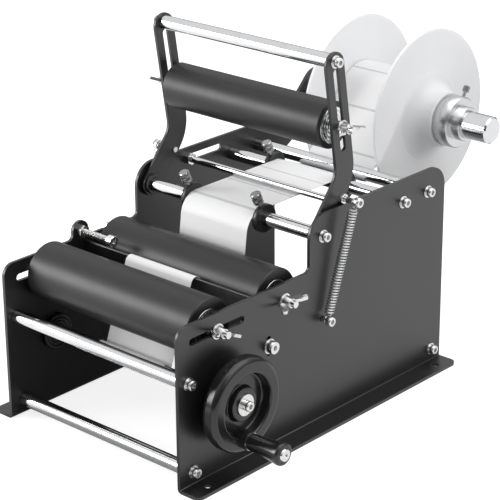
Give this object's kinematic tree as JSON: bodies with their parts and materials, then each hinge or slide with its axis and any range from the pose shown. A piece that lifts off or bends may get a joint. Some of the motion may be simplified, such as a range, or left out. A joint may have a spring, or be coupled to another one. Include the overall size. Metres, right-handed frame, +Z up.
{
  "type": "bottle labelling machine",
  "caption": "Manual round-bottle labelling machine: folded side plates, bottle rollers, sprung press arm with roller, label reel, peel blade and hand-cranked take-up.",
  "frame": {"origin": "on the floor, at the centre of the four foot holes", "axes": "+X along the rollers towards the handwheel, +Y from the operator towards the label reel, +Z up"},
  "size_m": [0.2886, 0.481, 0.3188],
  "materials": {
    "black_coat": "fine textured powder coat",
    "chrome_rod": "polished",
    "zinc_steel": "bright zinc plate",
    "knurled_steel": "knurled nickel plate",
    "spring_steel": "drawn wire",
    "bearing_steel": "ground",
    "roller_rubber": "matte",
    "black_collar": "black oxide",
    "black_plastic": "glossy moulded",
    "white_plastic": "translucent frosted",
    "label_paper": "smooth coated",
    "turned_aluminium": "fine turned"
  },
  "bodies": {
    "frame": {"left_side_plate": "black_coat", "right_side_plate": "black_coat", "front_upper_rod": "chrome_rod", "front_lower_rod": "chrome_rod", "rear_lower_rod": "chrome_rod", "rear_web_rod": "chrome_rod", "middle_web_rod": "chrome_rod", "arm_pivot_rod": "chrome_rod", "frame_screws": "zinc_steel", "frame_washers": "zinc_steel", "frame_nuts": "zinc_steel", "spring_anchor_screws": "zinc_steel", "arm_springs": "spring_steel", "takeup_bearings": "bearing_steel", "reel_shaft": "chrome_rod", "rear_roller_shaft": "bearing_steel", "label_web": "label_paper"},
    "bottle_stop": {"bottle_stop_screw": "zinc_steel"},
    "peel_blade": {"peel_plate": "black_coat", "peel_screws": "zinc_steel"},
    "hold_down": {"hold_down_rod": "chrome_rod", "hold_down_nuts": "zinc_steel"},
    "press_arm": {"left_arm": "black_coat", "right_arm": "black_coat", "handle_bar": "chrome_rod", "arm_screws": "zinc_steel", "arm_washers": "zinc_steel", "arm_nuts": "zinc_steel"},
    "press_carriage": {"press_roller_shaft": "bearing_steel"},
    "press_drum": {"press_roller": "roller_rubber", "press_roller_bearings": "bearing_steel"},
    "front_carriage": {"front_roller_shaft": "bearing_steel"},
    "front_drum": {"front_roller": "roller_rubber", "front_roller_bearings": "bearing_steel"},
    "rear_drum": {"rear_roller": "roller_rubber", "rear_roller_bearings": "bearing_steel"},
    "takeup": {"takeup_shaft": "black_collar", "handwheel": "black_plastic", "handwheel_screw": "zinc_steel", "grip_spindle": "chrome_rod"},
    "grip": {"handle_grip": "black_plastic"},
    "reel": {"left_reel_disc": "white_plastic", "right_reel_disc": "white_plastic", "label_roll": "label_paper"},
    "reel_lock": {"reel_collar": "turned_aluminium"},
    "reel_lock_thumb": {"reel_thumb_screw": "knurled_steel"},
    "guide_left_collar": {"guide_collar_left": "black_collar"},
    "guide_left_thumb": {"guide_thumb_screw_left": "knurled_steel"},
    "guide_right_collar": {"guide_collar_right": "black_collar"},
    "guide_right_thumb": {"guide_thumb_screw_right": "knurled_steel"},
    "rear_left_collar": {"rear_collar_left": "black_collar"},
    "rear_left_thumb": {"rear_thumb_screw_left": "knurled_steel"},
    "rear_right_collar": {"rear_collar_right": "black_collar"},
    "rear_right_thumb": {"rear_thumb_screw_right": "knurled_steel"},
    "front_left_wing": {"front_roller_wing_nut_left": "zinc_steel"},
    "front_right_wing": {"front_roller_wing_nut_right": "zinc_steel"},
    "rear_left_wing": {"rear_roller_wing_nut_left": "zinc_steel"},
    "rear_right_wing": {"rear_roller_wing_nut_right": "zinc_steel"},
    "press_left_wing": {"press_roller_wing_nut_left": "zinc_steel"},
    "press_right_wing": {"press_roller_wing_nut_right": "zinc_steel"}
  },
  "joints": [
    {"name": "arm_swing", "type": "hinge", "parent": "frame", "child": "press_arm", "pos_m": [0, 0.003, 0.168], "axis": [1, 0, 0], "range_deg": [0, 95], "deforming": ["arm_springs"]},
    {"name": "press_roller_slide", "type": "slide", "parent": "press_arm", "child": "press_carriage", "axis": [0, -0.1569, 0.9876], "range_m": [-0.017, 0.028]},
    {"name": "press_roller_spin", "type": "hinge", "parent": "press_carriage", "child": "press_drum", "pos_m": [0, 0.0304, 0.25372], "axis": [1, 0, 0], "continuous": true},
    {"name": "front_roller_slide", "type": "slide", "parent": "frame", "child": "front_carriage", "axis": [0, 1, 0], "range_m": [-0.0275, 0.018], "deforming": ["label_web"]},
    {"name": "front_roller_spin", "type": "hinge", "parent": "front_carriage", "child": "front_drum", "pos_m": [0, -0.1255, 0.126], "axis": [1, 0, 0], "continuous": true},
    {"name": "rear_roller_spin", "type": "hinge", "parent": "frame", "child": "rear_drum", "pos_m": [0, -0.0454, 0.126], "axis": [1, 0, 0], "continuous": true},
    {"name": "handwheel_spin", "type": "hinge", "parent": "frame", "child": "takeup", "pos_m": [0, -0.1165, 0.0655], "axis": [1, 0, 0], "continuous": true},
    {"name": "grip_spin", "type": "hinge", "parent": "takeup", "child": "grip", "pos_m": [0.126, -0.11952, 0.03726], "axis": [1, 0, 0], "continuous": true},
    {"name": "reel_spin", "type": "hinge", "parent": "frame", "child": "reel", "pos_m": [0, 0.231, 0.2037], "axis": [1, 0, 0], "continuous": true},
    {"name": "reel_collar_slide", "type": "slide", "parent": "frame", "child": "reel_lock", "axis": [1, 0, 0], "range_m": [0, 0.025]},
    {"name": "reel_thumb_turn", "type": "hinge", "parent": "reel_lock", "child": "reel_lock_thumb", "pos_m": [0.065, 0.231, 0.2037], "axis": [0, 0.5446, 0.8387], "continuous": true},
    {"name": "bottle_stop_slide", "type": "slide", "parent": "frame", "child": "bottle_stop", "axis": [1, 0, 0], "range_m": [-0.025, 0.006]},
    {"name": "peel_blade_slide", "type": "slide", "parent": "frame", "child": "peel_blade", "axis": [0, 0, 1], "range_m": [-0.0058, 0.0025], "deforming": ["label_web"]},
    {"name": "hold_down_slide", "type": "slide", "parent": "frame", "child": "hold_down", "axis": [0, 1, 0], "range_m": [0, 0.0405]},
    {"name": "guide_collar_left_slide", "type": "slide", "parent": "frame", "child": "guide_left_collar", "axis": [-1, 0, 0], "range_m": [0, 0.04]},
    {"name": "guide_thumb_left_turn", "type": "hinge", "parent": "guide_left_collar", "child": "guide_left_thumb", "pos_m": [-0.04575, 0.003, 0.168], "axis": [0, -0.4067, 0.9135], "continuous": true},
    {"name": "guide_collar_right_slide", "type": "slide", "parent": "frame", "child": "guide_right_collar", "axis": [1, 0, 0], "range_m": [0, 0.049]},
    {"name": "guide_thumb_right_turn", "type": "hinge", "parent": "guide_right_collar", "child": "guide_right_thumb", "pos_m": [0.03675, 0.003, 0.168], "axis": [0, -0.4067, 0.9135], "continuous": true},
    {"name": "rear_collar_left_slide", "type": "slide", "parent": "frame", "child": "rear_left_collar", "axis": [-1, 0, 0], "range_m": [0, 0.046]},
    {"name": "rear_thumb_left_turn", "type": "hinge", "parent": "rear_left_collar", "child": "rear_left_thumb", "pos_m": [-0.04575, 0.11, 0.168], "axis": [0, -0.4067, 0.9135], "continuous": true},
    {"name": "rear_collar_right_slide", "type": "slide", "parent": "frame", "child": "rear_right_collar", "axis": [1, 0, 0], "range_m": [0, 0.055]},
    {"name": "rear_thumb_right_turn", "type": "hinge", "parent": "rear_right_collar", "child": "rear_right_thumb", "pos_m": [0.03675, 0.11, 0.168], "axis": [0, -0.4067, 0.9135], "continuous": true},
    {"name": "front_wing_left_turn", "type": "hinge", "parent": "front_carriage", "child": "front_left_wing", "pos_m": [-0.101, -0.1255, 0.126], "axis": [1, 0, 0], "continuous": true},
    {"name": "front_wing_right_turn", "type": "hinge", "parent": "front_carriage", "child": "front_right_wing", "pos_m": [0.101, -0.1255, 0.126], "axis": [1, 0, 0], "continuous": true},
    {"name": "rear_wing_left_turn", "type": "hinge", "parent": "frame", "child": "rear_left_wing", "pos_m": [-0.101, -0.0454, 0.126], "axis": [1, 0, 0], "continuous": true},
    {"name": "rear_wing_right_turn", "type": "hinge", "parent": "frame", "child": "rear_right_wing", "pos_m": [0.101, -0.0454, 0.126], "axis": [1, 0, 0], "continuous": true},
    {"name": "press_wing_left_turn", "type": "hinge", "parent": "press_carriage", "child": "press_left_wing", "pos_m": [-0.097, 0.0304, 0.25372], "axis": [1, 0, 0], "continuous": true},
    {"name": "press_wing_right_turn", "type": "hinge", "parent": "press_carriage", "child": "press_right_wing", "pos_m": [0.097, 0.0304, 0.25372], "axis": [1, 0, 0], "continuous": true}
  ],
  "couplings": [
    {"joint": "reel_spin", "follows": "handwheel_spin", "ratio": -0.17333}
  ]
}
